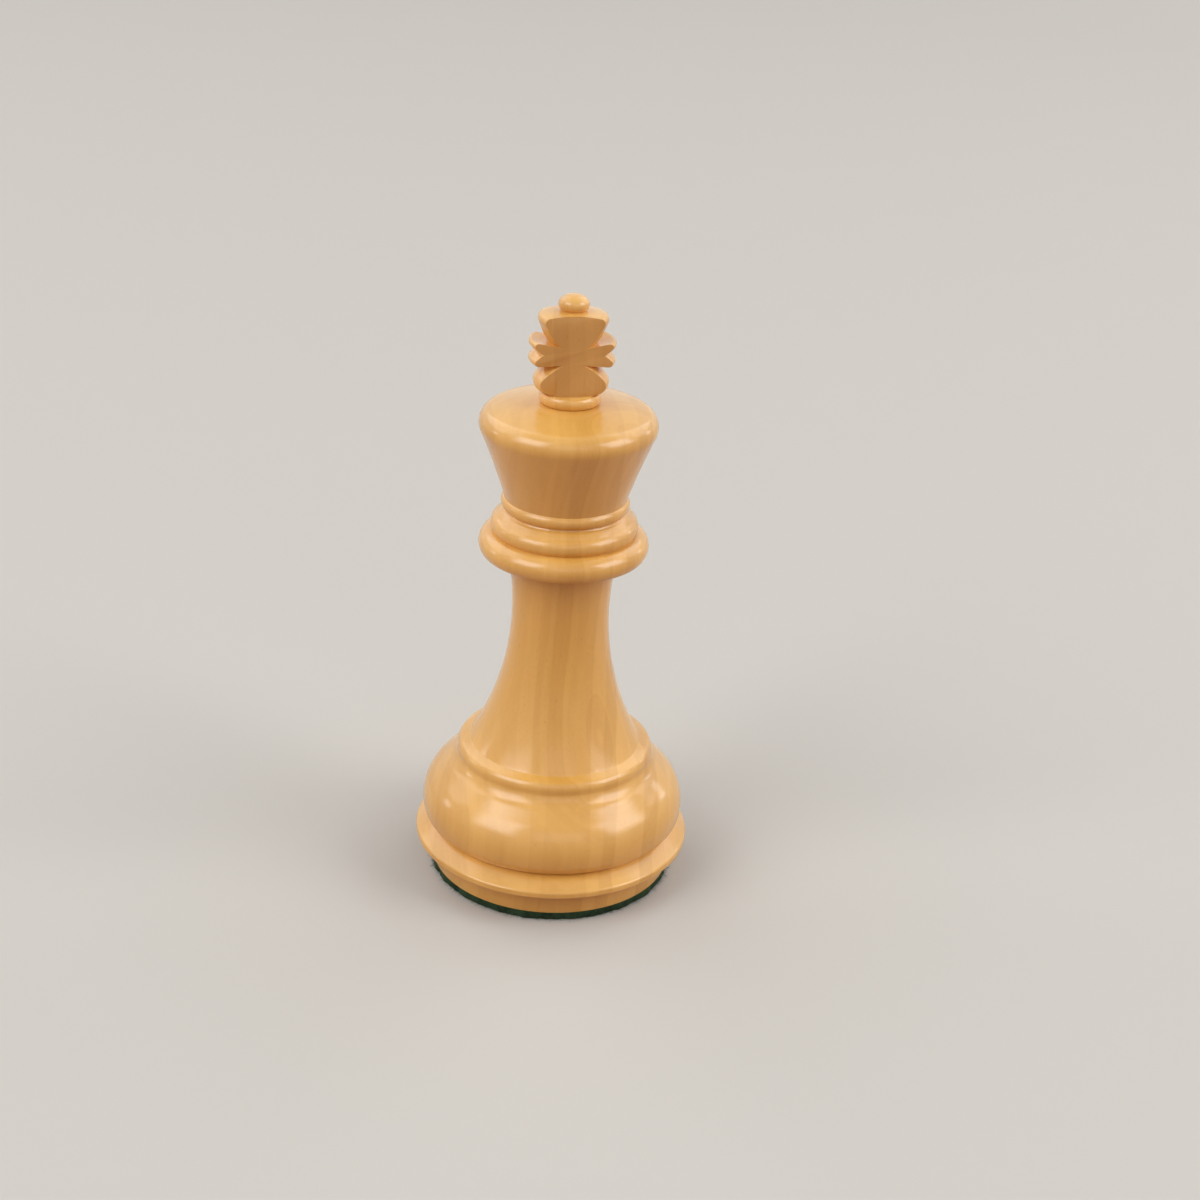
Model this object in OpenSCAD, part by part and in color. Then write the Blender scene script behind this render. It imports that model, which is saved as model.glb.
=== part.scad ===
/* [Felt pad] */
// Diameter of the baize disc under the foot
felt_d = 38; // [34:0.1:42]
// Thickness of the baize
felt_t = 1.4; // [0.6:0.1:3]

/* [Base] */
// Diameter of the foot where it meets the baize
foot_d = 38; // [34:0.1:42]
// Diameter of the foot under the flange
foot_top_d = 38.8; // [34:0.1:42]
// Height of the foot
foot_h = 4.3; // [2:0.1:8]
// Diameter of the flange, the widest part of the piece
flange_d = 43.5; // [42.5:0.1:52]
// Thickness of the flange's rounded edge
flange_edge = 1.1; // [0.6:0.1:2]
// Rise of the flange's sloping top
flange_rise = 1.7; // [1:0.1:4]
// Diameter of the bulb above the flange
bulb_d = 41.4; // [38:0.1:43]
// Radius of the bulb's round section
bulb_round = 6.8; // [5:0.1:8]
// Angle below the bulb's widest ring at which its underside starts
bulb_low_angle = 15; // [5:1:40]
// How far the bulb's underside runs in to the crease over the flange
bulb_tuck = 1.45; // [0.5:0.05:2.5]
// Height of the bulb's underside
bulb_tuck_h = 1.4; // [0.8:0.1:2.5]
// Diameter at the top of the sloping cove between the bulb and the step
cove_d = 29.8; // [27:0.1:30]
// Height of the cove
cove_h = 2.3; // [1:0.1:5]
// Diameter of the step at the stem's foot
step_d = 30.6; // [30:0.1:36]
// Thickness of the step's rounded edge
step_edge = 1.1; // [0.6:0.1:2]
// Rise of the step's sloping top
step_rise = 0.4; // [0.2:0.1:1.5]

/* [Stem] */
// Diameter of the stem at its foot
stem_foot_d = 26.8; // [22:0.1:28]
// Diameter of the stem at its waist
stem_waist_d = 15; // [12:0.1:18]
// Height of the stem from its foot to its waist
stem_low_h = 22.5; // [16:0.1:32]
// Height of the stem from its waist to the large collar
stem_top_h = 8.3; // [3:0.1:12]

/* [Collars] */
// Diameter of the large collar
collar_d = 25.9; // [23.5:0.1:30]
// Rise of the large collar's underside
collar_under = 1; // [0.5:0.1:4]
// Thickness of the large collar's rounded edge
collar_edge = 2.7; // [1.5:0.1:3.5]
// Rise of the large collar's sloping top
collar_rise = 1; // [0.6:0.1:2]
// Diameter of the middle collar
ring_d = 22.4; // [20.8:0.1:23.4]
// Thickness of the middle collar's rounded edge
ring_edge = 2.3; // [1:0.1:3]
// Rise of the middle collar's sloping top
ring_rise = 1.4; // [0.8:0.1:3]
// Diameter of the bead under the crown
bead_d = 19.5; // [17.5:0.1:20.6]
// Thickness of the bead
bead_edge = 2.1; // [1:0.1:3]

/* [Crown] */
// Diameter of the crown at its foot
crown_foot_d = 18.8; // [16:0.1:20]
// Diameter of the crown at its rim
crown_d = 26.6; // [24:0.1:32]
// Height of the crown from its foot to the middle of its rim
crown_h = 11.5; // [7:0.1:18]
// Radius of the rounded rim
rim_round = 2.3; // [1:0.1:4]
// Rise of the dome from the rim's top to the finial's seat
dome_rise = 1.1; // [0.5:0.1:3]

/* [Finial] */
// Diameter of the foot ring
foot_ring_d = 9.3; // [8.4:0.1:11]
// Height of the foot ring
foot_ring_h = 1.7; // [1:0.1:3]
// How far the foot ring's side is rounded out
foot_ring_bulge = 0.35; // [0.1:0.05:0.4]
// Diameter of the groove above the foot ring
groove_d = 7.8; // [6.8:0.1:8.6]
// Height of the groove above the foot ring
groove_h = 0.3; // [0.2:0.1:1]
// Diameter of the lower arm
lower_arm_d = 11.3; // [10:0.1:13]
// Radius of the lower arm's rounded edge
lower_arm_round = 1.4; // [0.8:0.1:2]
// Height of the lower arm from the middle of its edge to the neck above
lower_arm_taper = 3.1; // [2:0.1:5]
// Diameter of the necks above and below the side arms
neck_d = 6.9; // [6.5:0.1:8.2]
// Distance between the two necks
neck_pitch = 2.7; // [2:0.1:4]
// Diameter over the side arms' tips
side_arm_d = 12.9; // [12:0.1:16]
// Radius of the side arms' rounded tips
tip_round = 0.55; // [0.4:0.05:0.8]
// Drop of the lower tips below the lower neck
low_tip_drop = 0.25; // [0:0.05:0.8]
// Rise of the upper tips above the upper neck
high_tip_rise = 0.65; // [0.3:0.05:1.2]
// Diameter at the bottom of the notch between the tips
notch_d = 10.9; // [9:0.1:11.4]
// Diameter of the top arm
top_arm_d = 10.3; // [9.2:0.1:12]
// Radius of the top arm's rounded rim
top_arm_round = 0.7; // [0.5:0.1:1.5]
// Height of the top arm from the neck to the middle of its rim
top_arm_flare = 3.8; // [2.5:0.1:6]
// Rise of the top arm's shallow top
top_arm_rise = 0.4; // [0.2:0.1:1]
// Diameter of the button on top
button_d = 4.6; // [3.6:0.1:6]
// Radius of the button's round side
button_round = 1; // [0.7:0.1:1.2]
// Height of the button from its foot to its widest ring
button_low_h = 0.9; // [0.5:0.1:1.2]
// Height of the button
button_h = 2.3; // [2:0.1:3]
// Radius of the button's crowned top
button_crown = 3; // [2.6:0.1:4]
// Distance across the two flats
flats_t = 5.8; // [5:0.1:6.4]
// Diameter of the tenon below the finial
tenon_d = 5; // [3:0.1:6]
// Length of the tenon
tenon_l = 10; // [4:0.5:16]

/* [Weighted base] */
// Diameter of the recess bored up into the base
recess_d = 25; // [16:0.5:27]
// Depth of the recess
recess_h = 15; // [8:0.5:17]
// Thickness of the plug that closes the recess
plug_t = 3; // [1.5:0.1:5]
// Chamfer on the steel slug's edges
slug_chamfer = 0.8; // [0.3:0.1:1.5]
// Glue gap between the inner pieces and the wood around them
glue_gap = 0.1; // [0.05:0.05:0.2]

/* [Hidden] */
$fn = 128;
// Facets on a full circle as large as the stem's or the dome's arc
long_arc_fn = 4 * $fn;
boxwood = [0.82, 0.62, 0.36];
pale_boxwood = [0.84, 0.68, 0.45];
steel = [0.45, 0.46, 0.48];
baize = [0.09, 0.22, 0.15];

// Share of a rounded edge's radius at which a slope runs into it
inset = 0.94;
// Angle above the level at which most slopes leave a rounded edge
shoulder = 45;
// Angle at which a nearly level slope leaves a rounded edge
level_shoulder = 75;
// Angle above the level at which the cove leaves the bulb
cove_shoulder = 50;
// Angle below the level at which a slope runs into the edge above it
undercut = 60;
// How far a slope of the body runs on into what it meets
body_run = 2;
// How far a slope of the finial runs on into what it meets
finial_run = 0.5;

// Heights of the body from the resting face upwards
foot_z = felt_t;
flange_z = foot_z + foot_h;
flange_mid_z = flange_z + flange_edge / 2;
crease_z = flange_z + flange_edge + flange_rise;
bulb_z = crease_z + bulb_tuck_h + bulb_round * sin(bulb_low_angle);
step_z = bulb_z + bulb_round + cove_h;
step_mid_z = step_z + step_edge / 2;
stem_z = step_z + step_edge + step_rise;
waist_z = stem_z + stem_low_h;
collar_under_z = waist_z + stem_top_h;
collar_mid_z = collar_under_z + collar_under + collar_edge / 2;
ring_z = collar_mid_z + collar_edge / 2 + collar_rise;
ring_mid_z = ring_z + ring_edge / 2;
bead_z = ring_z + ring_edge + ring_rise;
bead_mid_z = bead_z + bead_edge / 2;
crown_z = bead_mid_z + inset * bead_edge / 2;
rim_mid_z = crown_z + crown_h;
seat_z = rim_mid_z + rim_round + dome_rise;

// The stem is one arc, upright at its waist and passing through its foot
stem_flare = (stem_foot_d - stem_waist_d) / 2;
stem_sweep = (stem_low_h * stem_low_h + stem_flare * stem_flare) / (2 * stem_flare);
stem_top_d = stem_waist_d + 2 * (stem_sweep - sqrt(stem_sweep * stem_sweep - stem_top_h * stem_top_h));

// The dome is one arc centred on the axis, from the rim up to the finial's seat
dome_reach = crown_d / 2 - rim_round;
dome_drop = dome_rise + (1 - inset) * rim_round;
seat_r = foot_ring_d / 2;
dome_depth = (dome_reach * dome_reach - seat_r * seat_r - dome_drop * dome_drop) / (2 * dome_drop);
dome_sweep = norm([dome_reach, dome_depth]);

// Heights of the finial
groove_z = seat_z + foot_ring_h;
lower_arm_z = groove_z + groove_h;
lower_arm_mid_z = lower_arm_z + lower_arm_round;
low_neck_z = lower_arm_mid_z + lower_arm_taper;
high_neck_z = low_neck_z + neck_pitch;
low_tip_z = low_neck_z - low_tip_drop + tip_round;
high_tip_z = high_neck_z + high_tip_rise - tip_round;
cup_mid_z = high_neck_z + top_arm_flare;
button_z = cup_mid_z + top_arm_round + top_arm_rise;
finial_top_z = button_z + button_h;
foot_ring_mid_z = seat_z + foot_ring_h / 2;
foot_ring_core_d = foot_ring_d - 2 * foot_ring_bulge;
button_mid_z = button_z + button_low_h;

// Radius of the button's side, kept clear of the axis on a slim button
button_side = min(button_round, inset * button_d / 4);

// Places inside the base
slug_z = foot_z + plug_t;
slug_top_z = foot_z + recess_h - glue_gap;
inner_d = recess_d - 2 * glue_gap;
mortise_l = tenon_l + glue_gap;

// Point a little inside a rounded edge, at an angle above the level through its centre
function within(d, z, round, angle) =
  [d / 2 + round * (inset * cos(angle) - 1), z + inset * round * sin(angle)];

// Point that lies run beyond b on the line that comes from a
function beyond(a, b, run) = b + (b - a) * run / norm(b - a);

// Round section of an edge with outer diameter d, centred at height z
module edge(d, z, round) {
  translate([d / 2 - round, z]) circle(r = round);
}

// Half section between the axis and a list of points that climbs from one height to another
module to_axis(points) {
  polygon(concat([[0, points[0][1]]], points, [[0, points[len(points) - 1][1]]]));
}

// Half section of the foot, the flange, the bulb and the step
module base_profile() {
  flange_low = within(flange_d, flange_mid_z, flange_edge / 2, -90);
  flange_high = within(flange_d, flange_mid_z, flange_edge / 2, shoulder);
  bulb_core = [bulb_d / 2 - bulb_round, bulb_z];
  tuck = bulb_core + bulb_round * [cos(bulb_low_angle), -sin(bulb_low_angle)];
  crease = [tuck[0] - bulb_tuck, crease_z];
  bulb_top = [bulb_d / 2 + body_run, bulb_z + bulb_round + body_run];
  step_core_r = step_d / 2 - step_edge / 2;
  step_high = within(step_d, step_mid_z, step_edge / 2, level_shoulder);
  to_axis([[foot_d / 2, foot_z], [foot_top_d / 2, flange_z], [foot_top_d / 2, flange_mid_z]]);
  to_axis([flange_low, flange_high, beyond(flange_high, crease, body_run)]);
  edge(flange_d, flange_mid_z, flange_edge / 2);
  to_axis([[bulb_core[0], flange_mid_z], bulb_core]);
  intersection() {
    edge(bulb_d, bulb_z, bulb_round);
    to_axis([beyond(tuck, crease, body_run), beyond(crease, tuck, body_run), bulb_top]);
  }
  to_axis([bulb_core, within(bulb_d, bulb_z, bulb_round, cove_shoulder), [cove_d / 2, step_mid_z]]);
  to_axis([
    [step_core_r, step_mid_z],
    step_high,
    beyond(step_high, [stem_foot_d / 2, stem_z], body_run)
  ]);
  edge(step_d, step_mid_z, step_edge / 2);
}

// Half section of the stem, running on into the step below and the collar above
module stem_profile() {
  reach = stem_foot_d / 2 + body_run / 2;
  difference() {
    to_axis([[reach, step_mid_z], [reach, collar_mid_z]]);
    translate([stem_waist_d / 2 + stem_sweep, waist_z]) circle(r = stem_sweep, $fn = long_arc_fn);
  }
}

// Half section of the two collars and the bead
module collar_profile() {
  collar_low = within(collar_d, collar_mid_z, collar_edge / 2, -level_shoulder);
  collar_high = within(collar_d, collar_mid_z, collar_edge / 2, shoulder);
  ring_core_r = ring_d / 2 - ring_edge / 2;
  ring_high = within(ring_d, ring_mid_z, ring_edge / 2, shoulder);
  bead_core_r = bead_d / 2 - bead_edge / 2;
  to_axis([
    beyond(collar_low, [stem_top_d / 2, collar_under_z], body_run),
    collar_low,
    collar_high,
    within(ring_d, ring_mid_z, ring_edge / 2, -undercut)
  ]);
  edge(collar_d, collar_mid_z, collar_edge / 2);
  to_axis([
    [ring_core_r, collar_mid_z],
    [ring_core_r, ring_mid_z],
    ring_high,
    within(bead_d, bead_mid_z, bead_edge / 2, -undercut)
  ]);
  edge(ring_d, ring_mid_z, ring_edge / 2);
  to_axis([[bead_core_r, ring_mid_z], [bead_core_r, crown_z + body_run]]);
  edge(bead_d, bead_mid_z, bead_edge / 2);
}

// Half section of the crown with its rounded rim and its dome, level where the finial sits
module crown_profile() {
  side_lean = atan2((crown_d - crown_foot_d) / 2, crown_h);
  to_axis([[crown_foot_d / 2, crown_z], within(crown_d, rim_mid_z, rim_round, -side_lean)]);
  edge(crown_d, rim_mid_z, rim_round);
  intersection() {
    to_axis([[dome_reach, crown_z + crown_h / 2], [dome_reach, seat_z]]);
    translate([0, seat_z - dome_drop - dome_depth]) circle(r = dome_sweep, $fn = long_arc_fn);
  }
}

// One continuous turning with a mortise in its dome and a recess bored up from its foot
module body() {
  color(boxwood)
    difference() {
      rotate_extrude() {
        base_profile();
        stem_profile();
        collar_profile();
        crown_profile();
      }
      translate([0, 0, seat_z - mortise_l]) cylinder(d = tenon_d + 2 * glue_gap, h = 2 * mortise_l);
      translate([0, 0, foot_z - recess_h]) cylinder(d = recess_d, h = 2 * recess_h);
    }
}

// Half section of the finial's tenon, foot ring and lower arm
module finial_foot_profile() {
  lower_low = within(lower_arm_d, lower_arm_mid_z, lower_arm_round, -90);
  lower_high = within(lower_arm_d, lower_arm_mid_z, lower_arm_round, shoulder);
  to_axis([[tenon_d / 2, seat_z - tenon_l], [tenon_d / 2, groove_z]]);
  to_axis([[foot_ring_core_d / 2, seat_z], [foot_ring_core_d / 2, groove_z]]);
  edge(foot_ring_d, foot_ring_mid_z, inset * foot_ring_h / 2);
  to_axis([[groove_d / 2, seat_z], [groove_d / 2, lower_arm_mid_z]]);
  to_axis([lower_low, lower_high, beyond(lower_high, [neck_d / 2, low_neck_z], finial_run)]);
  edge(lower_arm_d, lower_arm_mid_z, lower_arm_round);
}

// Half section of one row of tips, whose slopes run from what is below them to what is above
module tip_profile(tip_z, low_angle, below, high_angle, above) {
  low = within(side_arm_d, tip_z, tip_round, -low_angle);
  high = within(side_arm_d, tip_z, tip_round, high_angle);
  to_axis([beyond(low, below, finial_run), low, high, beyond(high, above, finial_run)]);
  edge(side_arm_d, tip_z, tip_round);
}

// Half section of the side arms, two rows of tips with a notch between them
module side_arm_profile() {
  low_neck = [neck_d / 2, low_neck_z];
  high_neck = [neck_d / 2, high_neck_z];
  notch = [notch_d / 2, (low_tip_z + high_tip_z) / 2];
  tip_profile(low_tip_z, level_shoulder, low_neck, shoulder, notch);
  tip_profile(high_tip_z, shoulder, notch, level_shoulder, high_neck);
}

// Half section of the top arm and its button
module finial_top_profile() {
  cup_low = within(top_arm_d, cup_mid_z, top_arm_round, -shoulder);
  cup_high = within(top_arm_d, cup_mid_z, top_arm_round, level_shoulder);
  core_r = button_d / 2 - button_side;
  crown_reach = (button_d - button_side) / 2;
  to_axis([
    beyond(cup_low, [neck_d / 2, high_neck_z], finial_run),
    cup_low,
    cup_high,
    beyond(cup_high, [core_r, button_z], finial_run)
  ]);
  edge(top_arm_d, cup_mid_z, top_arm_round);
  to_axis([[core_r, cup_mid_z], [core_r, button_mid_z]]);
  edge(button_d, button_mid_z, button_side);
  intersection() {
    to_axis([[crown_reach, button_mid_z], [crown_reach, finial_top_z + button_h]]);
    translate([0, finial_top_z - button_crown]) circle(r = button_crown);
  }
}

// Turned spindle of three flared arms, with two parallel flats cut on it above its foot ring
module finial() {
  color(pale_boxwood)
    difference() {
      rotate_extrude() {
        finial_foot_profile();
        side_arm_profile();
        finial_top_profile();
      }
      for (side = [0, 180])
        rotate(side)
          translate([-side_arm_d, flats_t / 2, groove_z])
            cube([2 * side_arm_d, side_arm_d, button_z - groove_z]);
    }
}

// Steel slug with chamfered edges, resting on the plug
module base_weight() {
  color(steel)
    rotate_extrude()
      to_axis([
        [inner_d / 2 - slug_chamfer, slug_z],
        [inner_d / 2, slug_z + slug_chamfer],
        [inner_d / 2, slug_top_z - slug_chamfer],
        [inner_d / 2 - slug_chamfer, slug_top_z]
      ]);
}

// Wooden disc that closes the recess flush with the foot
module recess_plug() {
  color(pale_boxwood)
    translate([0, 0, foot_z]) cylinder(d = inner_d, h = plug_t);
}

// Baize disc glued to the foot and the plug
module felt_pad() {
  color(baize) cylinder(d = felt_d, h = felt_t);
}

body();
finial();
base_weight();
recess_plug();
felt_pad();
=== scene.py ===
import math

import bmesh
import bpy
import numpy as np
from mathutils import Matrix, Vector


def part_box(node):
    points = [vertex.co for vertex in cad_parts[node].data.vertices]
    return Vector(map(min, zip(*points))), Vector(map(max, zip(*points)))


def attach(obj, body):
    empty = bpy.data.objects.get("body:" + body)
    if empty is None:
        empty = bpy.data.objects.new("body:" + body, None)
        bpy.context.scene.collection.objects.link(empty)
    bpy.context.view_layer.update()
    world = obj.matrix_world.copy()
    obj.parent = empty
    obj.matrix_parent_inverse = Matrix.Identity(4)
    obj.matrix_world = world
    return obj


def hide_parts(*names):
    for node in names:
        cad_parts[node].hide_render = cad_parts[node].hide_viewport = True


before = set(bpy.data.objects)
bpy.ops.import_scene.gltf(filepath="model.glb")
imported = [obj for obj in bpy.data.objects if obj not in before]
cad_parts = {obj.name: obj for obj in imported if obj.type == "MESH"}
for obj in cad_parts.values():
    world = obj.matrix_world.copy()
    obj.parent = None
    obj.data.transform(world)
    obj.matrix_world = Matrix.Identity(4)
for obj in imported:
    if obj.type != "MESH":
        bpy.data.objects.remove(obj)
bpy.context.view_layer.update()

# Body
# One turning of boxwood from the dome down to the foot, sanded and lacquered on the lathe. A mortise in
# the dome takes the finial's tenon, and a recess bored up from the foot takes the weight and its plug.
MM = 0.001
body_low, body_high = (np.array(corner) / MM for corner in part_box("body"))
foot_z = body_low[2]
seat_z = body_high[2]
flange_r = body_high[0]
glue_gap = 0.1
tenon_r = 2.5
tenon_l = 10.0
recess_r = 12.5
recess_h = 15.0
body_columns = 160
cap_r = 0.2

# Radius, height above the foot, and bulge of the arc that leads there from the row before
body_outline = np.array([
    (tenon_r + glue_gap, seat_z - foot_z, 0),  # mouth of the mortise
    (4.65, seat_z - foot_z, 0),  # edge of the finial's seat
    (11.66, 75.84, 0.17),  # dome
    (13.22, 72.74, 0.78),  # rim of the crown
    (9.3, 62.1, -0.13),  # side of the crown
    (9.05, 60.2, 0.58),  # bead
    (9.45, 59.75, -0.08),  # hollow under the bead
    (10.35, 58.95, 0.03),  # top of the ring
    (10.75, 56.5, 0.63),  # ring
    (12.45, 53.1, 1.28),  # collar
    (8.26, 51.7, 0.05),  # underside of the collar
    (13.42, 20.98, -2.75),  # stem
    (14.85, 20.55, 0.02),  # top of the step
    (15.4, 19.15, 0.2),  # edge of the step
    (15.42, 18.7, 0),  # side of the step
    (16.75, 17.0, -0.18),  # cove
    (18.26, 15.5, 0),  # slope of the bulb
    (20.57, 9.0, 0.893),  # bulb
    (19.0, 7.05, 0.33),  # underside of the bulb
    (18.92, 7.02, 0),  # crease under the bulb
    (19.1, 6.98, 0),  # inner edge of the flange
    (flange_r - 0.38, 5.42, 0.04),  # top of the flange
    (flange_r - 0.02, 4.9, 0.11),  # upper corner of the flange
    (flange_r - 0.02, 4.4, 0),  # edge of the flange
    (flange_r - 0.2, 4.18, 0.04),  # lower corner of the flange
    (19.4, 4.25, 0),  # underside of the flange
    (19.0, 0, 0.03),  # foot
])


def arcs(outline, samples=60, least_bulge=1e-9):
    """Line of circular arcs through the rows of an outline. An arc with half angle a, where tan(a / 2) is
    its bulge over half its chord, has at t from -1 to 1 a point sin(a t) / sin(a) of half the chord along
    it and (cos(a t) - cos(a)) / sin(a) of half the chord outwards. A bulge under 0 is a hollow, and the
    least bulge keeps a straight row from dividing by nothing."""
    start, end = outline[:-1, :2], outline[1:, :2]
    chord = end - start
    outward = np.column_stack([-chord[:, 1], chord[:, 0]])
    bulge = outline[1:, 2] + least_bulge
    a = 2 * np.arctan(2 * bulge / np.linalg.norm(chord, axis=1))
    t = np.linspace(-1, 1, samples, endpoint=False)[:, None]
    along = np.sin(a * t) / np.sin(a)
    beside = (np.cos(a * t) - np.cos(a)) / np.sin(a)
    points = (start + end + along[..., None] * chord + beside[..., None] * outward) / 2
    return np.vstack([points.swapaxes(0, 1).reshape(-1, 2), outline[-1:, :2]])


def sanded(line, softness, longest, finest, half=16):
    """Line with its creases eased as sandpaper eases them: it is laid out in equal short steps, averaged
    under a bell curve of that softness that reaches half steps each way, and thinned to points that lie
    at most longest apart and gather where it bends, one for about each turn of finest."""
    step = softness / 4
    run = np.append(0, np.cumsum(np.linalg.norm(np.diff(line, axis=0), axis=1)))
    even = np.linspace(0, run[-1], int(run[-1] / step))
    fine = np.column_stack([np.interp(even, run, line[:, 0]), np.interp(even, run, line[:, 1])])
    reach = np.arange(-half, half + 1)
    bell = np.exp(-((reach * step / softness) ** 2) / 2)
    bell /= bell.sum()
    ends = np.pad(fine, ((half, half), (0, 0)), mode="reflect", reflect_type="odd")
    soft = np.column_stack([np.convolve(ends[:, 0], bell, "valid"), np.convolve(ends[:, 1], bell, "valid")])
    heading = np.unwrap(np.arctan2(*np.gradient(soft, axis=0).T))
    need = np.cumsum(step / longest + np.abs(np.gradient(heading)) / finest)
    wanted = np.linspace(need[0], need[-1], int(need[-1]) + 2)
    return np.column_stack([np.interp(wanted, need, soft[:, 0]), np.interp(wanted, need, soft[:, 1])])


def turned(line, columns):
    """Grid of a line of radii and heights carried round the axis: row by row, a point at radius r and
    height z goes to (r cos a, r sin a, z) for each angle a."""
    angle = np.linspace(0, 2 * np.pi, columns, endpoint=False)
    radius, height = line[:, :1], line[:, 1:]
    return np.stack([radius * np.cos(angle), radius * np.sin(angle), height + 0 * angle], axis=-1)


def quads_over(numbers, closed):
    """Corners of the four-sided faces over a grid of point numbers. Where the grid is closed, its last
    column joins its first."""
    ahead = np.roll(numbers, -1, axis=1)
    if not closed:
        numbers, ahead = numbers[:, :-1], ahead[:, :-1]
    return np.stack([numbers[:-1], numbers[1:], ahead[1:], ahead[:-1]], axis=-1).reshape(-1, 4)


def piece_of(name, points, quads, caps, material, crease=35, weld=0):
    """Piece with a mesh of points in millimetres, of four-sided faces, and of caps with many sides. Points
    that lie within weld millimetres are made one, and edges that turn by more than crease degrees stay
    sharp."""
    corners = np.concatenate([quads.ravel(), *caps])
    sides = np.append(np.full(len(quads), 4), [len(cap) for cap in caps])
    mesh = bpy.data.meshes.new(name)
    mesh.vertices.add(len(points))
    mesh.vertices.foreach_set("co", (points * MM).astype(np.float32).ravel())
    mesh.loops.add(len(corners))
    mesh.loops.foreach_set("vertex_index", corners.astype(np.int32))
    mesh.polygons.add(len(sides))
    mesh.polygons.foreach_set("loop_start", (np.cumsum(sides) - sides).astype(np.int32))
    mesh.update(calc_edges=True)
    if weld:
        shape = bmesh.new()
        shape.from_mesh(mesh)
        bmesh.ops.remove_doubles(shape, verts=shape.verts, dist=weld * MM)
        shape.to_mesh(mesh)
        shape.free()
    mesh.shade_smooth()
    mesh.set_sharp_from_angle(angle=math.radians(crease))
    mesh.materials.append(material)
    piece = bpy.data.objects.new(name, mesh)
    bpy.context.scene.collection.objects.link(piece)
    return piece


def closed_piece(name, grid, material, crease=35):
    """Piece with a skin over a grid whose rows go right round, from its top to its underside, and a small
    cap on each end row."""
    numbers = np.arange(grid[..., 0].size).reshape(grid.shape[:2])
    caps = [numbers[0], numbers[-1, ::-1]]
    return piece_of(name, grid.reshape(-1, 3), quads_over(numbers, closed=True), caps, material, crease)


def node(tree, kind, inputs=None, **settings):
    """Shader node with its settings made and its inputs filled: a socket is linked, a value is set."""
    made = tree.nodes.new("ShaderNode" + kind)
    for key, value in settings.items():
        setattr(made, key, value)
    for key, value in (inputs or {}).items():
        if isinstance(value, bpy.types.NodeSocket):
            tree.links.new(value, made.inputs[key])
        else:
            made.inputs[key].default_value = value
    return made


def finish_of(name, **sockets):
    """New material: its node tree, and its surface shader with these sockets set."""
    material = bpy.data.materials.new(name)
    material.use_nodes = True
    shader = material.node_tree.nodes["Principled BSDF"]
    for key, value in sockets.items():
        shader.inputs[key.replace("_", " ").title().replace("Ior", "IOR")].default_value = value
    return material, material.node_tree, shader


def calculated(tree, operation, *values):
    """Result of a Math node on up to three sockets or values."""
    return node(tree, "Math", dict(enumerate(values)), operation=operation).outputs[0]


def stretched_noise(tree, place, across, along, detail):
    """Noise whose grains measure about across by across by along millimetres."""
    grains = (1 / across, 1 / across, 1 / along)
    scaled = node(tree, "VectorMath", {0: place, 1: grains}, operation="MULTIPLY").outputs[0]
    return node(tree, "TexNoise", {"Vector": scaled, "Scale": 1, "Detail": detail}).outputs[0]


def growth_rings(tree, distance, ring, step):
    """Tone of each growth ring, counted outwards from the pith in rings of one thickness. A ring has a
    chance tone of its own, and turns into the next one's over the last part of it, from step on."""
    count = calculated(tree, "DIVIDE", distance, ring)
    whole = calculated(tree, "FLOOR", count)
    part = calculated(tree, "FRACT", count)
    this_tone = node(tree, "TexWhiteNoise", {"W": whole}, noise_dimensions="1D").outputs["Value"]
    next_tone = node(tree, "TexWhiteNoise", {"W": calculated(tree, "ADD", whole, 1.0)},
                     noise_dimensions="1D").outputs["Value"]
    turn = node(tree, "MapRange", {"Value": part, "From Min": step, "From Max": 1.0},
                interpolation_type="SMOOTHSTEP").outputs[0]
    return node(tree, "Mix", {0: turn, 2: this_tone, 3: next_tone}, data_type="FLOAT").outputs[0]


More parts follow.
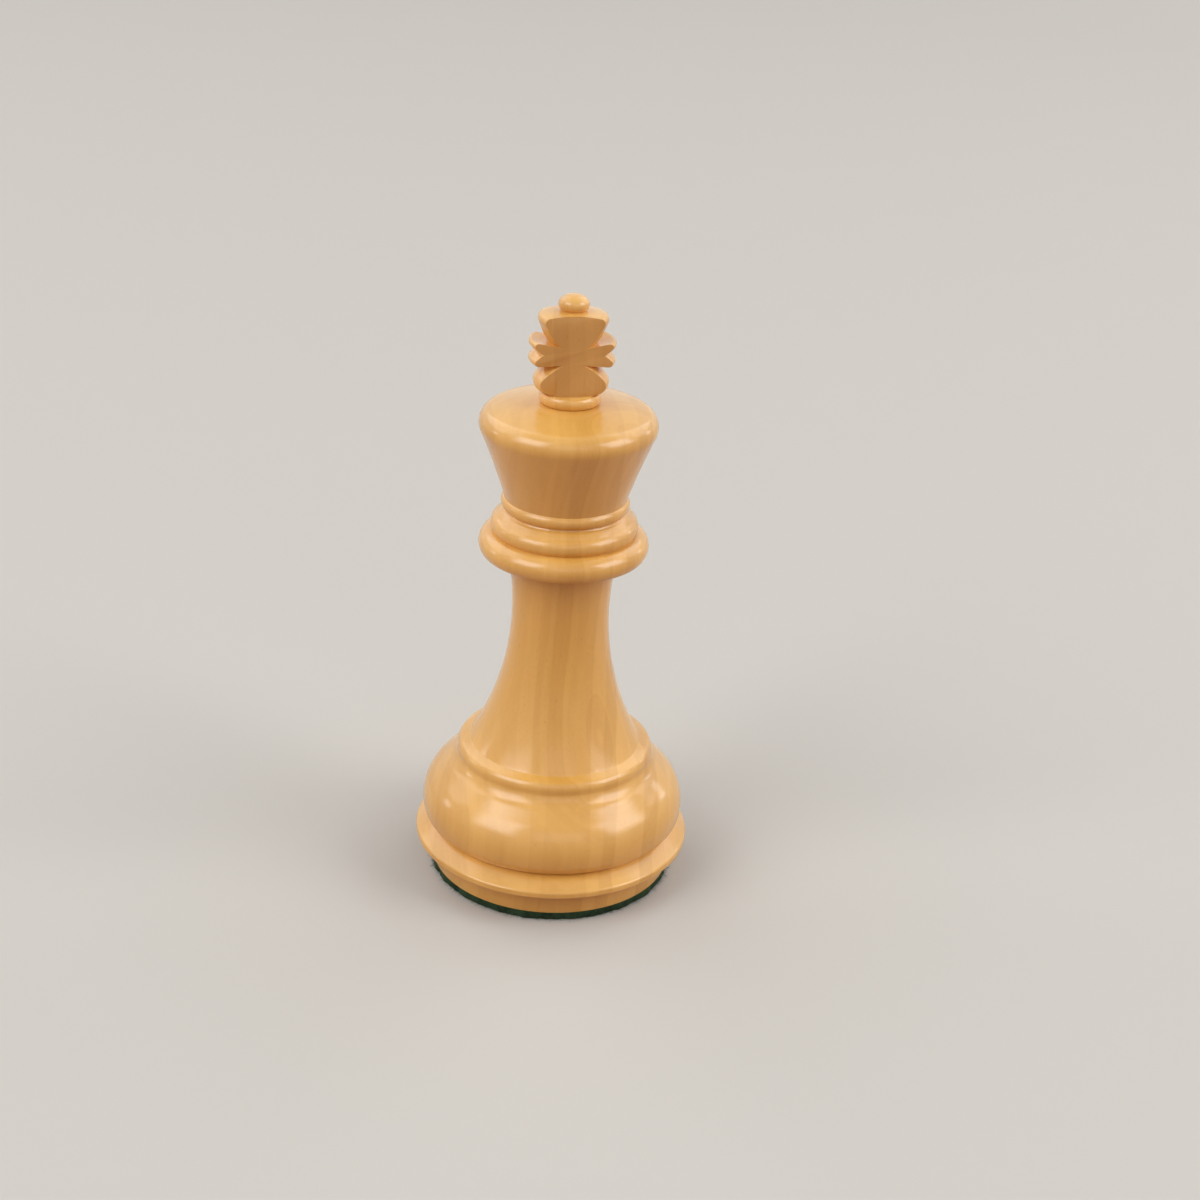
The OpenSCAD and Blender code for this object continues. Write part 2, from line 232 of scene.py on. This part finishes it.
def boxwood(name, pale, deep, pith, lean, contrast, **sockets):
    """Wood as it grew: growth rings about a pith that stands at a place in millimetres and leans by angles
    in degrees, broad ribbons side by side, streaks and fibres that run along it, clouds of colour, and
    short dark pores. What they add up to mixes the deep colour into the pale one."""
    sway_reach = 3.0
    tone_span = 0.4
    pore_shade = 0.45
    material, tree, shader = finish_of(name, **sockets)
    place = node(tree, "TexCoord").outputs["Object"]
    grown = node(tree, "Mapping", {
        "Vector": place,
        "Location": (-pith[0], -pith[1], 0),
        "Rotation": [math.radians(angle) for angle in lean],
        "Scale": (1 / MM, 1 / MM, 1 / MM),
    }).outputs[0]
    sway = stretched_noise(tree, grown, across=14, along=45, detail=2)
    across = node(tree, "VectorMath", {0: grown, 1: (1, 1, 0)}, operation="MULTIPLY").outputs[0]
    distance = node(tree, "VectorMath", {0: across}, operation="LENGTH").outputs["Value"]
    swayed = calculated(tree, "MULTIPLY_ADD", sway, sway_reach, distance)
    broad_rings = growth_rings(tree, swayed, ring=2.0, step=0.9)
    fine_rings = growth_rings(tree, swayed, ring=0.55, step=0.7)
    sideways = node(tree, "SeparateXYZ", {0: grown}).outputs["X"]
    swayed_sideways = calculated(tree, "MULTIPLY_ADD", sway, sway_reach, sideways)
    ribbons = growth_rings(tree, swayed_sideways, ring=2.3, step=0.88)
    streaks = stretched_noise(tree, grown, across=1.6, along=36, detail=2)
    fibres = stretched_noise(tree, grown, across=0.16, along=4, detail=3)
    clouds = stretched_noise(tree, grown, across=12, along=22, detail=2)
    pores = stretched_noise(tree, grown, across=0.2, along=1.2, detail=1)

    shares = {
        broad_rings: 0.22, ribbons: 0.42, fine_rings: 0.08, streaks: 0.20, fibres: 0.24, clouds: 0.24}
    tone = -contrast * sum(shares.values()) / 2
    for pattern, share in shares.items():
        tone = calculated(tree, "MULTIPLY_ADD", pattern, share * contrast, tone)
    mix = node(tree, "MapRange", {"Value": tone, "From Min": -tone_span, "From Max": tone_span}).outputs[0]
    wood = node(tree, "Mix", {0: mix, 6: (*deep, 1), 7: (*pale, 1)}, data_type="RGBA").outputs[2]
    pore = node(tree, "MapRange", {"Value": pores, "From Min": 0.68, "From Max": 0.8,
                                   "To Max": 0.3}).outputs[0]
    dark = [pore_shade * channel for channel in deep]
    pored = node(tree, "Mix", {0: pore, 6: wood, 7: (*dark, 1)}, data_type="RGBA").outputs[2]
    tree.links.new(pored, shader.inputs["Base Color"])
    rough = node(tree, "MapRange", {"Value": fibres, "To Min": 0.42, "To Max": 0.56}).outputs[0]
    tree.links.new(rough, shader.inputs["Roughness"])
    relief = node(tree, "Bump", {"Height": fibres, "Strength": 0.06, "Distance": 0.02 * MM}).outputs[0]
    tree.links.new(relief, shader.inputs["Normal"])
    return material


lacquered_boxwood = boxwood(
    "lacquered_boxwood", pale=(0.83, 0.465, 0.118), deep=(0.63, 0.315, 0.058), pith=(4.4, -9.5),
    lean=(0, -3, 0), contrast=1, specular_ior_level=0.2, coat_weight=1, coat_roughness=0.17,
    coat_ior=1.52)
body_line = sanded(arcs(body_outline), softness=0.06, longest=0.9, finest=math.radians(6))
body_line[:, 1] += foot_z
mortise_z = seat_z - tenon_l - glue_gap
mortise = np.array([(cap_r, mortise_z), (tenon_r + glue_gap, mortise_z)])
recess = np.array([(recess_r, foot_z), (recess_r, foot_z + recess_h), (cap_r, foot_z + recess_h)])
body_grid = turned(np.vstack([mortise, body_line, recess]), body_columns)
body = closed_piece("body_turning", body_grid, lacquered_boxwood)
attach(body, "root")
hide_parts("body")

# Base weight
# A slug of steel bar, faced and chamfered on the lathe, that is glued into the recess over the plug and
# makes the piece stand steady.
weight_low, weight_high = (np.array(corner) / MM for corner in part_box("base_weight"))
slug_chamfer = 0.8
slug_columns = 96
slug_outline = np.array([
    (cap_r, weight_high[2], 0),
    (weight_high[0] - slug_chamfer, weight_high[2], 0),
    (weight_high[0], weight_high[2] - slug_chamfer, 0),
    (weight_high[0], weight_low[2] + slug_chamfer, 0),
    (weight_high[0] - slug_chamfer, weight_low[2], 0),
    (cap_r, weight_low[2], 0),
])


def turned_steel(name):
    """Bare steel off the lathe: fine rings about the axis from the tool's feed, and cloudy tarnish."""
    material, tree, shader = finish_of(name, metallic=1, roughness=0.35)
    place = node(tree, "TexCoord").outputs["Object"]
    feed = node(tree, "TexWave", {"Vector": place, "Scale": 900, "Distortion": 0.6, "Detail": 1},
                wave_type="RINGS", rings_direction="SPHERICAL").outputs[1]
    tarnish = node(tree, "TexNoise", {"Vector": place, "Scale": 260, "Detail": 4}).outputs[0]
    steel = node(tree, "Mix", {0: tarnish, 6: (0.30, 0.29, 0.28, 1), 7: (0.55, 0.55, 0.56, 1)},
                 data_type="RGBA").outputs[2]
    tree.links.new(steel, shader.inputs["Base Color"])
    rough = node(tree, "MapRange", {"Value": feed, "To Min": 0.28, "To Max": 0.5}).outputs[0]
    tree.links.new(rough, shader.inputs["Roughness"])
    relief = node(tree, "Bump", {"Height": feed, "Strength": 0.3, "Distance": 0.02 * MM}).outputs[0]
    tree.links.new(relief, shader.inputs["Normal"])
    return material


slug_line = sanded(arcs(slug_outline), softness=0.05, longest=1, finest=math.radians(12))
slug = closed_piece("base_weight_slug", turned(slug_line, slug_columns), turned_steel("turned_steel"))
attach(slug, "root")
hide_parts("base_weight")

# Recess plug
# A bare wooden disc with broken edges, turned to the recess and glued in flush with the foot, so that
# the felt has a flat face to lie on.
plug_low, plug_high = (np.array(corner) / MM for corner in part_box("recess_plug"))
plug_break = 0.25
plug_columns = 96
plug_outline = np.array([
    (cap_r, plug_high[2], 0),
    (plug_high[0] - plug_break, plug_high[2], 0),
    (plug_high[0], plug_high[2] - plug_break, 0.03),
    (plug_high[0], plug_low[2] + plug_break, 0),
    (plug_high[0] - plug_break, plug_low[2], 0.03),
    (cap_r, plug_low[2], 0),
])
bare_wood = boxwood(
    "bare_wood", pale=(0.74, 0.48, 0.22), deep=(0.54, 0.32, 0.12), pith=(-30, -22),
    lean=(84, 0, 0), contrast=1)
plug_line = sanded(arcs(plug_outline), softness=0.05, longest=1, finest=math.radians(12))
plug = closed_piece("recess_plug_disc", turned(plug_line, plug_columns), bare_wood)
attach(plug, "root")
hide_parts("recess_plug")

# Felt pad
# A disc cut from green wool baize and glued under the foot, with a soft uneven edge from the cutting and
# loose fibres that stand out of it.
felt_high = np.array(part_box("felt_pad")[1]) / MM
felt_r = felt_high[0]
felt_t = felt_high[2]
felt_columns = 360
edge_sway = 0.02
edge_grip = 30
mid_wave = 20
fibre_count = 3600
fibre_root_r = felt_r - 0.2
fibre_lowest = 0.02
draw = np.random.default_rng(7)
felt_outline = np.array([
    (cap_r, felt_t, 0),
    (felt_r - 0.1, felt_t, 0),
    (felt_r - 0.02, felt_t / 2, 0.08),
    (felt_r - 0.25, 0, 0.12),
    (cap_r, 0, 0),
])


def baize(name):
    """Felted wool: a tangle of fine fibres in lighter and darker green, dull, with a soft sheen."""
    material, tree, shader = finish_of(
        name, specular_ior_level=0.15, sheen_weight=0.25, sheen_roughness=0.5,
        sheen_tint=(0.3, 0.42, 0.28, 1))
    place = node(tree, "TexCoord").outputs["Object"]
    tangle = node(tree, "TexNoise", {"Vector": place, "Scale": 2600, "Detail": 4,
                                     "Distortion": 2.5}).outputs[0]
    tufts = node(tree, "TexNoise", {"Vector": place, "Scale": 420, "Detail": 3}).outputs[0]
    height = calculated(tree, "ADD", tangle, tufts)
    tone = node(tree, "MapRange", {"Value": height, "From Min": 0.7, "From Max": 1.3}).outputs[0]
    wool = node(tree, "Mix", {0: tone, 6: (0.009, 0.022, 0.011, 1), 7: (0.042, 0.09, 0.045, 1)},
                data_type="RGBA").outputs[2]
    tree.links.new(wool, shader.inputs["Base Color"])
    rough = node(tree, "MapRange", {"Value": tufts, "To Min": 0.85, "To Max": 1.0}).outputs[0]
    tree.links.new(rough, shader.inputs["Roughness"])
    relief = node(tree, "Bump", {"Height": height, "Strength": 0.8, "Distance": 0.12 * MM}).outputs[0]
    tree.links.new(relief, shader.inputs["Normal"])
    return material


green_baize = baize("green_baize")
felt_line = sanded(arcs(felt_outline), softness=0.08, longest=0.7, finest=math.radians(10))
felt_grid = turned(felt_line, felt_columns)
# The edge strays by a sum of waves round the disc, the finer ones smaller, and this dies away inwards
edge_share = np.clip(np.hypot(felt_grid[..., 0], felt_grid[..., 1]) / felt_r, 0, 1) ** edge_grip
turn_round = np.linspace(0, 2 * np.pi, felt_columns, endpoint=False)
waves = np.arange(3, 120)
sway_of_wave = draw.normal(0, edge_sway, len(waves)) / np.sqrt(waves / mid_wave)
start_of_wave = draw.uniform(0, 2 * np.pi, len(waves))
unevenness = (sway_of_wave * np.sin(turn_round[:, None] * waves + start_of_wave)).sum(axis=1)
felt_grid[..., :2] *= (1 + edge_share * unevenness / felt_r)[..., None]
felt = closed_piece("felt_pad_disc", felt_grid, green_baize, crease=60)
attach(felt, "root")
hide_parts("felt_pad")


def strands(roots, heading, length, droop, curl, thickness, rings=5, sides=3):
    """Points and faces of many fine strands. At a share t of its length, a strand is length t along its
    heading from its root, bent sideways by curl t squared and down by droop t squared, and a small
    triangle of points goes round it there, which narrows by half towards its tip."""
    t = np.linspace(0, 1, rings)[None, :, None]
    sideways = np.column_stack([-heading[:, 1], heading[:, 0], np.zeros(len(heading))])
    upright = np.cross(heading, sideways)
    path = (roots[:, None] + heading[:, None] * length[:, None, None] * t
            + sideways[:, None] * (curl[:, None, None] * t**2) - (0, 0, 1) * (droop[:, None, None] * t**2))
    angle = np.linspace(0, 2 * np.pi, sides, endpoint=False)
    round_it = (sideways[:, None, None] * np.cos(angle)[:, None]
                + upright[:, None, None] * np.sin(angle)[:, None])
    points = path[:, :, None] + round_it * (thickness[:, None, None, None] * (1 - 0.5 * t[..., None]))
    numbers = np.arange(points[..., 0].size).reshape(points.shape[:3])
    ahead = np.roll(numbers, -1, axis=2)
    quads = np.stack([numbers[:, :-1], ahead[:, :-1], ahead[:, 1:], numbers[:, 1:]], axis=-1).reshape(-1, 4)
    return points.reshape(-1, 3), quads, [*numbers[:, 0, ::-1], *numbers[:, -1]]


fibre_turn = draw.uniform(0, 2 * np.pi, fibre_count)
fibre_swing = fibre_turn + draw.normal(0, 0.7, fibre_count)
fibre_rise = draw.normal(0, 0.25, fibre_count)
fibre_roots = np.column_stack([
    fibre_root_r * np.cos(fibre_turn), fibre_root_r * np.sin(fibre_turn),
    draw.uniform(0.3, felt_t - 0.15, fibre_count)])
fibre_heading = np.column_stack([
    np.cos(fibre_swing) * np.cos(fibre_rise), np.sin(fibre_swing) * np.cos(fibre_rise), np.sin(fibre_rise)])
fibre_points, fibre_quads, fibre_caps = strands(
    fibre_roots, fibre_heading,
    length=0.35 + draw.exponential(0.24, fibre_count).clip(0, 0.9),
    droop=draw.uniform(0, 0.3, fibre_count), curl=draw.normal(0, 0.3, fibre_count),
    thickness=draw.uniform(0.014, 0.028, fibre_count))
fibre_points[:, 2] = np.clip(fibre_points[:, 2], fibre_lowest, None)
fibres = piece_of("felt_pad_fibres", fibre_points, fibre_quads, fibre_caps, green_baize)
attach(fibres, "root")
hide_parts("felt_pad")

# Finial
# A small spindle of paler boxwood, turned with a foot ring, three flared arms and a button, then cut flat
# on its front and back above the foot ring. Its tenon is glued into the mortise in the dome.
finial_high = np.array(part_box("finial")[1]) / MM
button_top = finial_high[2] - seat_z
flat_y = 2.9
flat_ease = 0.15
ledge_z = seat_z + 1.72  # end of the flats, just above the ledge of the foot ring

# Radius, height above the dome's seat, and bulge of the arc that leads there from the row before
finial_outline = np.array([
    (cap_r, button_top - 0.01, 0),  # top of the button
    (1.75, button_top - 0.47, 0.15),  # crown of the button
    (1.78, 14.06, 0.535),  # side of the button
    (4.85, 13.51, 0.06),  # top of the top arm
    (5.08, 12.38, 0.22),  # rim of the top arm
    (3.4, 9.13, 0.16),  # flare of the top arm, down to the upper neck
    (5.95, 9.78, 0.03),  # top of the upper tips
    (6.2, 8.86, 0.36),  # ends of the upper tips
    (5.25, 8.05, 0.05),  # notch between the tips
    (6.1, 7.3, 0.05),  # top of the lower tips
    (5.95, 6.26, 0.36),  # ends of the lower tips
    (3.3, 6.47, 0.02),  # underside of the lower tips, in to the lower neck
    (5.22, 4.38, 0.03),  # taper of the lower arm
    (4.25, 2.0, 0.864),  # edge of the lower arm
    (3.9, 1.98, 0),  # roof of the groove
    (3.9, 1.7, 0),  # wall of the groove
    (4.3, 1.68, 0),  # ledge of the foot ring
    (4.3, 0.02, 0.34),  # side of the foot ring
    (tenon_r, 0, 0),  # face that sits on the dome
    (tenon_r, -tenon_l, 0),  # side of the tenon
    (cap_r, -tenon_l, 0),  # end of the tenon
])


def rounded_side(line, flat, ease, arc_count=40, ease_count=4):
    """Grid of the side that stays round between two flats at y = -flat and y = flat. A row of radius r is
    an arc of its circle with, at both ends, an arc of radius ease that touches the circle and the flat.
    That small arc's centre lies flat - ease from the middle and r - ease from the axis."""
    radius, height = line[:, :1], line[:, 1:]
    inside = flat - ease
    reach = np.sqrt(np.maximum((radius - ease) ** 2 - inside**2, 0))
    start = np.arctan2(inside, reach)
    angle = start * np.linspace(-1, 1, arc_count + 1)
    turn = start + (np.pi / 2 - start) * np.arange(1, ease_count + 1) / ease_count
    ease_x, ease_y = reach + ease * np.cos(turn), inside + ease * np.sin(turn)
    x = np.hstack([ease_x[:, ::-1], radius * np.cos(angle), ease_x])
    y = np.hstack([-ease_y[:, ::-1], radius * np.sin(angle), ease_y])
    return np.stack([x, y, height + 0 * x], axis=-1)


def flatted(name, line, flat, ease, ledge_z, material, arc_count=40, ledge_count=24):
    """Piece turned to a line, with two flats cut on it from the radius flat on its top down to its ledge.
    It is a round top, two round sides with a many-sided flat on each face between them, and a round foot,
    whose ledge reaches in to the sides and the flats."""
    cut_from = int(np.argmax(line[:, 0] > flat))
    cut_to = int(np.argmax((line[:, 1] < ledge_z) & (np.arange(len(line)) > cut_from)))
    share = (flat - line[cut_from - 1, 0]) / (line[cut_from, 0] - line[cut_from - 1, 0])
    brink = line[cut_from - 1] + share * (line[cut_from] - line[cut_from - 1])
    right = rounded_side(np.vstack([brink, line[cut_from:cut_to]]), flat, ease, arc_count)
    left = right * (-1, -1, 1)
    top = np.roll(turned(np.vstack([line[:cut_from], brink]), 2 * arc_count), arc_count // 2, axis=1)

    foot_line = line[cut_to:]
    corner = np.arctan2(right[-1, -1, 1], right[-1, -1, 0])
    right_angles = np.linspace(-corner, corner, right.shape[1])
    back_angles = np.linspace(corner, np.pi - corner, ledge_count + 2)[1:-1]
    angles = np.concatenate([right_angles, back_angles, right_angles + np.pi, back_angles + np.pi])
    radius, height = foot_line[:, :1], foot_line[:, 1:]
    foot = np.stack([radius * np.cos(angles), radius * np.sin(angles), height + 0 * angles], axis=-1)

    grids = [top, right, left, foot]
    firsts = np.cumsum([0] + [grid[..., 0].size for grid in grids])
    top_n, right_n, left_n, foot_n = (
        first + np.arange(grid[..., 0].size).reshape(grid.shape[:2]) for first, grid in zip(firsts, grids))
    width = right.shape[1]
    ring = foot_n[0]
    left_start = width + ledge_count
    front_start = left_start + width
    quads = np.vstack([
        quads_over(top_n, closed=True), quads_over(right_n, closed=False), quads_over(left_n, closed=False),
        quads_over(foot_n, closed=True),
        quads_over(np.stack([right_n[-1], ring[:width]]), closed=False),
        quads_over(np.stack([left_n[-1], ring[left_start:front_start]]), closed=False),
    ])
    front_ledge = np.concatenate([ring[front_start - 1:], [ring[0], right_n[-1, 0], left_n[-1, -1]]])
    back_ledge = np.concatenate([ring[width - 1:left_start + 1], [left_n[-1, 0], right_n[-1, -1]]])
    caps = [
        top_n[0], foot_n[-1, ::-1], front_ledge, back_ledge,
        np.concatenate([left_n[:, -1], right_n[::-1, 0]]),
        np.concatenate([right_n[:, -1], left_n[::-1, 0]]),
    ]
    points = np.vstack([grid.reshape(-1, 3) for grid in grids])
    return piece_of(name, points, quads, caps, material, weld=0.001)


pale_boxwood = boxwood(
    "pale_boxwood", pale=(0.84, 0.475, 0.130), deep=(0.65, 0.332, 0.068), pith=(-9, 14),
    lean=(-1, 1, 0), contrast=0.9, specular_ior_level=0.2, coat_weight=1, coat_roughness=0.19,
    coat_ior=1.52)


def paint_shade_on_flats(material, flat, from_z, shade_paint, skin=0.02):
    """Paints shade on two flats at y = -flat and y = flat, in a skin of that depth, above a height: there
    the wood's colour is multiplied by the shade colour. It is a painted shade for the darker look that the
    flats, facing the front, take from the room."""
    tree = material.node_tree
    base = tree.nodes["Principled BSDF"].inputs["Base Color"]
    place = node(tree, "SeparateXYZ", {0: node(tree, "TexCoord").outputs["Object"]}).outputs
    sideways = calculated(tree, "ABSOLUTE", place["Y"])
    on_flat = calculated(tree, "GREATER_THAN", sideways, (flat - skin) * MM)
    above = calculated(tree, "GREATER_THAN", place["Z"], from_z * MM)
    # Painted shade: mask of the flats above the ledge, where the wood's colour is darkened
    painted_shade_mask = calculated(tree, "MULTIPLY", on_flat, above)
    painted_shade_colour = node(tree, "Mix", {0: painted_shade_mask, 6: base.links[0].from_socket, 7: (*shade_paint, 1)},
                    data_type="RGBA", blend_type="MULTIPLY").outputs[2]
    tree.links.new(painted_shade_colour, base)


# Painted shade on the finial's flats, which makes them darker than its turned sides
paint_shade_on_flats(pale_boxwood, flat_y, ledge_z, shade_paint=(0.76, 0.69, 0.66))
finial_line = sanded(arcs(finial_outline), softness=0.07, longest=0.25, finest=math.radians(9))
finial_line[:, 1] += seat_z
finial = flatted("finial_spindle", finial_line, flat_y, flat_ease, ledge_z, pale_boxwood)
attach(finial, "root")
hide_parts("finial")

# Stage
# A plain pale floor in a pale room. Two large soft boxes with brighter cores hang on the left and on the
# right, a dim panel in front and two at the back even out the light, and two small boxes low at the back
# draw thin gleams along the sides.
floor_half = 3.0
floor_look = (0.56, 0.535, 0.50, 1)
floor_bounce = (0.31, 0.13, 0.035, 1)
fade_from, fade_to = 0.8, 2.4
room_colour = (1, 0.98, 0.95, 1)
room_level = 0.95
glow_low, glow_high = 0.14, 0.4
glow_from = 0.1


def looked_at(tree):
    """Socket that is 1 for what the camera sees, straight, in a gloss or through glass, and else 0."""
    path = node(tree, "LightPath").outputs
    seen = calculated(tree, "MAXIMUM", path["Is Camera Ray"], path["Is Glossy Ray"])
    return calculated(tree, "MAXIMUM", seen, path["Is Transmission Ray"])


def plain_floor(name):
    """Matt pale floor. The light that it throws back on the piece is dimmer and warmer than it looks, and
    far from the piece it fades into the look of the room."""
    material, tree, shader = finish_of(name, roughness=0.8)
    seen = looked_at(tree)
    colour = node(tree, "Mix", {0: seen, 6: floor_bounce, 7: floor_look}, data_type="RGBA")
    tree.links.new(colour.outputs[2], shader.inputs["Base Color"])
    place = node(tree, "TexCoord").outputs["Object"]
    away = node(tree, "VectorMath", {0: place}, operation="LENGTH").outputs["Value"]
    far = node(tree, "MapRange", {"Value": away, "From Min": fade_from, "From Max": fade_to},
               interpolation_type="SMOOTHSTEP")
    fade = calculated(tree, "MULTIPLY", far.outputs[0], seen)
    room_look = node(tree, "Emission", {"Color": room_colour, "Strength": room_level})
    faded = node(tree, "MixShader", {0: fade, 1: shader.outputs[0], 2: room_look.outputs[0]})
    tree.links.new(faded.outputs[0], tree.nodes["Material Output"].inputs["Surface"])
    return material


floor_mesh = bpy.data.meshes.new("floor")
floor_mesh.from_pydata(
    [(-floor_half, -floor_half, 0), (floor_half, -floor_half, 0), (floor_half, floor_half, 0),
     (-floor_half, floor_half, 0)], [], [(0, 1, 2, 3)])
floor_mesh.materials.append(plain_floor("plain_floor"))
floor = bpy.data.objects.new("floor", floor_mesh)
bpy.context.scene.collection.objects.link(floor)


def soft_box(name, ends, distance, width, power):
    """Area lamp hung between two ends, which faces the middle of the piece. An end is a bearing, counted
    from the front towards the right, and an angle of rise above the floor."""
    aim = Vector((0, 0, seat_z / 2 * MM))
    bearing, rise = np.radians(ends).T
    level = np.cos(rise)
    towards = np.stack([np.sin(bearing) * level, -np.cos(bearing) * level, np.sin(rise)], axis=-1)
    ends = towards * distance + np.array(aim)
    lamp = bpy.data.lights.new(name, "AREA")
    lamp.shape = "RECTANGLE"
    lamp.size = width
    lamp.size_y = float(np.linalg.norm(ends[1] - ends[0]))
    lamp.energy = power
    middle = Vector(ends.mean(axis=0))
    length_way = Vector(ends[1] - ends[0]).normalized()
    out = middle - aim
    out = (out - out.dot(length_way) * length_way).normalized()
    stand = bpy.data.objects.new(name, lamp)
    stand.matrix_world = Matrix.Translation(middle) @ Matrix(
        (length_way.cross(out), length_way, out)).transposed().to_4x4()
    bpy.context.scene.collection.objects.link(stand)


soft_box("left_box", ends=[(-60, 17), (-66, 58)], distance=2.0, width=1.4, power=10)
soft_box("left_core", ends=[(-61, 24), (-63, 53)], distance=1.9, width=1.0, power=8)
soft_box("right_box", ends=[(67, 14), (67, 53)], distance=2.0, width=1.35, power=9.5)
soft_box("right_core", ends=[(66, 21), (68, 50)], distance=1.9, width=1.0, power=8)
soft_box("front_panel", ends=[(-24, 28), (24, 28)], distance=2.2, width=0.8, power=2.8)
soft_box("left_panel", ends=[(-165, 37), (-102, 37)], distance=2.0, width=1.3, power=8.5)
soft_box("right_panel", ends=[(152, 37), (98, 37)], distance=2.0, width=1.2, power=7)
soft_box("left_back_box", ends=[(-116, 10), (-108, 10)], distance=2.0, width=0.3, power=0.9)
soft_box("right_back_box", ends=[(121, 14), (112, 14)], distance=2.0, width=0.3, power=0.9)

world = bpy.data.worlds.new("room")
world.use_nodes = True
room = world.node_tree
room_light = room.nodes["Background"]
room_light.inputs["Color"].default_value = room_colour
upward = node(room, "SeparateXYZ", {0: node(room, "TexCoord").outputs["Generated"]}).outputs["Z"]
room_glow = node(room, "MapRange", {"Value": upward, "From Min": glow_from, "To Min": glow_low,
                                    "To Max": glow_high}).outputs[0]
room_strength = node(room, "Mix", {0: looked_at(room), 2: room_glow, 3: room_level},
                     data_type="FLOAT").outputs[0]
room.links.new(room_strength, room_light.inputs["Strength"])
bpy.context.scene.world = world
bpy.context.scene.view_settings.view_transform = "Standard"

# Camera
# It stands at arm's length, a little to the left of the front, and looks down at the piece by about 25
# degrees, tilted sideways by about 3.
lens = bpy.data.cameras.new("camera")
lens.lens = 63.85
lens.sensor_width = 36
lens.clip_start = 0.01
stand_place = Vector((-38.78, -294.56, 184.91)) * MM
heading, pitch, roll = (math.radians(angle) for angle in (8.658, 25.008, 3.054))
camera = bpy.data.objects.new("camera", lens)
camera.matrix_world = (
    Matrix.Translation(stand_place)
    @ Matrix.Rotation(-heading, 4, "Z")
    @ Matrix.Rotation(math.pi / 2 - pitch, 4, "X")
    @ Matrix.Rotation(roll, 4, "Z"))
bpy.context.scene.collection.objects.link(camera)
bpy.context.scene.camera = camera
